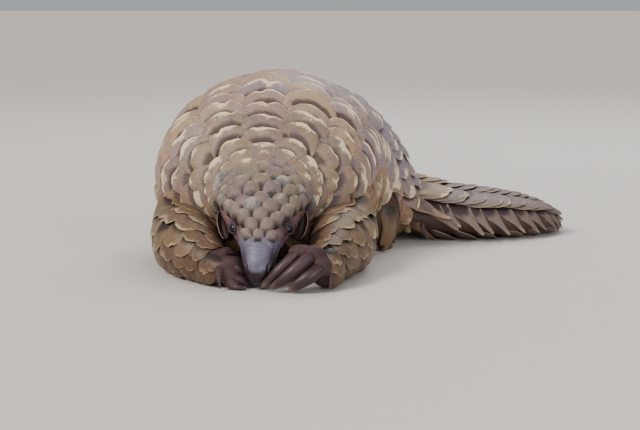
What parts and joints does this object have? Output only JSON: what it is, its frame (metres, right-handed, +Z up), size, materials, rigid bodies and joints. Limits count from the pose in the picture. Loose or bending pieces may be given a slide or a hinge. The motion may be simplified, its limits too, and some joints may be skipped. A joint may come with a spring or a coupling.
{
  "type": "ground pangolin",
  "caption": "Still life-size ground pangolin, crouched with arched scaled back, bowed head, curled forefeet and tail laid to its left.",
  "frame": {"origin": "on the floor, under the middle of the animal's bounding box", "axes": "+Z up; the animal faces -Y with its left side and its tail towards +X"},
  "size_m": [0.4559, 0.4392, 0.1918],
  "materials": {
    "head_scales": "grey rounded scales, bare bluish-grey snout with a dark nose",
    "body_scales": "large pale brown scales of worn horn with lighter edges",
    "tail_scales": "grey-brown pointed scales with thin light edges",
    "leg_scales": "brown scales",
    "foot_skin": "rough dark skin",
    "claw_horn": "dark horn, worn pale at the tip",
    "eye_gloss": "wet black",
    "ear_skin": "dark folded skin"
  },
  "bodies": {
    "root": {"eye_left": "eye_gloss", "ear_left": "ear_skin", "eye_right": "eye_gloss", "ear_right": "ear_skin", "foreleg_left": "leg_scales", "forefoot_left": "foot_skin", "foreclaw_left_1": "claw_horn", "foreclaw_left_2": "claw_horn", "foreclaw_left_3": "claw_horn", "foreclaw_left_4": "claw_horn", "foreclaw_left_5": "claw_horn", "hindleg_left": "leg_scales", "hindfoot_left": "foot_skin", "hindclaw_left_1": "claw_horn", "hindclaw_left_2": "claw_horn", "hindclaw_left_3": "claw_horn", "hindclaw_left_4": "claw_horn", "hindclaw_left_5": "claw_horn", "foreleg_right": "leg_scales", "forefoot_right": "foot_skin", "foreclaw_right_1": "claw_horn", "foreclaw_right_2": "claw_horn", "foreclaw_right_3": "claw_horn", "foreclaw_right_4": "claw_horn", "foreclaw_right_5": "claw_horn", "hindleg_right": "leg_scales", "hindfoot_right": "foot_skin", "hindclaw_right_1": "claw_horn", "hindclaw_right_2": "claw_horn", "hindclaw_right_3": "claw_horn", "hindclaw_right_4": "claw_horn", "hindclaw_right_5": "claw_horn", "head": "head_scales", "neck": "body_scales", "torso": "body_scales", "rump": "body_scales", "tail_base": "tail_scales", "tail_tip": "tail_scales"}
  },
  "joints": []
}
